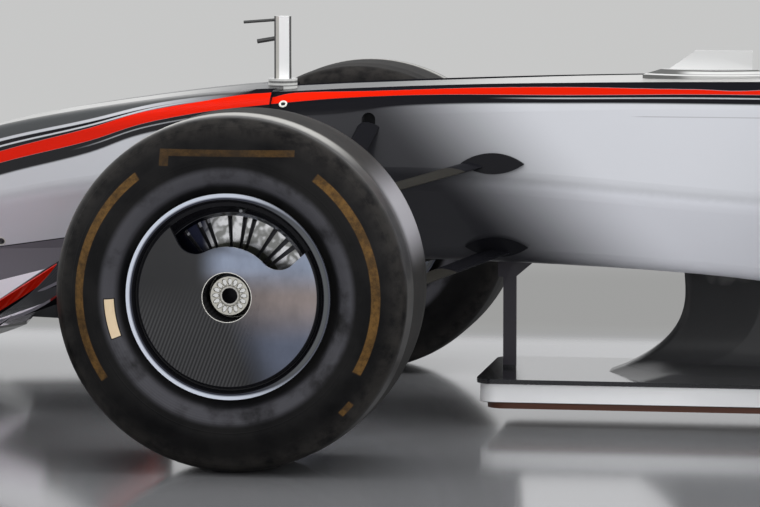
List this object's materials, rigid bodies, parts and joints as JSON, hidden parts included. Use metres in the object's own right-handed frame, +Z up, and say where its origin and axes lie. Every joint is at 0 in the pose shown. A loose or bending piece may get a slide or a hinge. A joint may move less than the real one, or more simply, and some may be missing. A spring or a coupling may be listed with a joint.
{
  "type": "open wheel racing car",
  "caption": "Single seat open wheel racing car on slick tyres, with a drooping nose, full width front wing, narrow tall rear wing and covered front wheels that steer and roll.",
  "frame": {"origin": "on the ground, midway between the front wing's leading edge and the rear wing's trailing edge", "axes": "+X forward along the car, +Y to its left, +Z up"},
  "size_m": [4.8301, 1.8, 1.0012],
  "materials": {
    "silver_paint": "gloss",
    "red_paint": "gloss",
    "black_paint": "gloss",
    "white_paint": "gloss",
    "carbon": "gloss",
    "wood_plank": "satin",
    "tyre": "satin",
    "rim_metal": "satin",
    "dark_metal": "satin",
    "cast_metal": "satin",
    "polished_metal": "polished",
    "red_lens": "gloss",
    "foam_collar": "matte",
    "clear_screen": "gloss",
    "mirror_glass": "polished",
    "stripe_gold": "matte",
    "belt_webbing": "matte"
  },
  "bodies": {
    "root": {"camera_pod": "black_paint", "chassis_fin": "white_paint", "cockpit_surround": "foam_collar", "crash_structure": "carbon", "diffuser": "carbon", "engine_block": "cast_metal", "engine_cover": "silver_paint", "exhaust_left": "dark_metal", "exhaust_right": "dark_metal", "floor": "carbon", "front_endplate_left": "red_paint", "front_endplate_right": "red_paint", "front_flaps_left": "red_paint", "front_flaps_right": "red_paint", "front_suspension_left": "carbon", "front_suspension_right": "carbon", "front_wing": "silver_paint", "gearbox": "cast_metal", "keel": "carbon", "mirror_left": "silver_paint", "mirror_right": "silver_paint", "monocoque": "silver_paint", "nose": "silver_paint", "nose_mast": "polished_metal", "plank": "wood_plank", "rain_light": "red_lens", "rear_endplate_left": "silver_paint", "rear_endplate_right": "silver_paint", "rear_suspension_left": "carbon", "rear_suspension_right": "carbon", "rear_upright_left": "dark_metal", "rear_upright_right": "dark_metal", "rear_wing": "red_paint", "seat": "carbon", "sidepod_left": "silver_paint", "sidepod_right": "silver_paint", "splitter": "carbon", "windscreen": "clear_screen"},
    "front_wheel_left": {"front_rim_left": "rim_metal", "front_tyre_left": "tyre"},
    "front_wheel_right": {"front_rim_right": "rim_metal", "front_tyre_right": "tyre"},
    "knuckle_left": {"front_upright_left": "dark_metal", "wheel_cover_left": "carbon"},
    "knuckle_right": {"front_upright_right": "dark_metal", "wheel_cover_right": "carbon"},
    "rear_wheel_left": {"rear_rim_left": "rim_metal", "rear_tyre_left": "tyre"},
    "rear_wheel_right": {"rear_rim_right": "rim_metal", "rear_tyre_right": "tyre"},
    "steering_rack": {"steering_rack": "dark_metal"},
    "steering_wheel": {"steering_wheel": "carbon"}
  },
  "joints": [
    {"name": "front_left_steer", "type": "hinge", "parent": "root", "child": "knuckle_left", "pos_m": [1.323, 0.64, 0.205], "axis": [-0.0712, -0.0979, 0.9926], "range_deg": [-15, 15]},
    {"name": "front_right_steer", "type": "hinge", "parent": "root", "child": "knuckle_right", "pos_m": [1.323, -0.64, 0.205], "axis": [-0.0712, 0.0979, 0.9926], "range_deg": [-15, 15]},
    {"name": "rack_slide", "type": "slide", "parent": "root", "child": "steering_rack", "axis": [0, 1, 0], "range_m": [-0.0248, 0.0248]},
    {"name": "steering_wheel_turn", "type": "hinge", "parent": "root", "child": "steering_wheel", "pos_m": [0.165, 0, 0.585], "axis": [-0.9703, 0, 0.2419], "range_deg": [-151, 151]},
    {"name": "front_left_roll", "type": "hinge", "parent": "knuckle_left", "child": "front_wheel_left", "pos_m": [1.315, 0.7325, 0.326], "axis": [0, 1, 0], "continuous": true},
    {"name": "front_right_roll", "type": "hinge", "parent": "knuckle_right", "child": "front_wheel_right", "pos_m": [1.315, -0.7325, 0.326], "axis": [0, 1, 0], "continuous": true},
    {"name": "rear_left_roll", "type": "hinge", "parent": "root", "child": "rear_wheel_left", "pos_m": [-1.835, 0.7125, 0.33], "axis": [0, 1, 0], "continuous": true},
    {"name": "rear_right_roll", "type": "hinge", "parent": "root", "child": "rear_wheel_right", "pos_m": [-1.835, -0.7125, 0.33], "axis": [0, 1, 0], "continuous": true}
  ],
  "couplings": [
    {"joint": "front_right_steer", "follows": "front_left_steer", "ratio": 1},
    {"joint": "rack_slide", "follows": "front_left_steer", "m_per_rad": 0.0943},
    {"joint": "steering_wheel_turn", "follows": "front_left_steer", "ratio": 10}
  ]
}
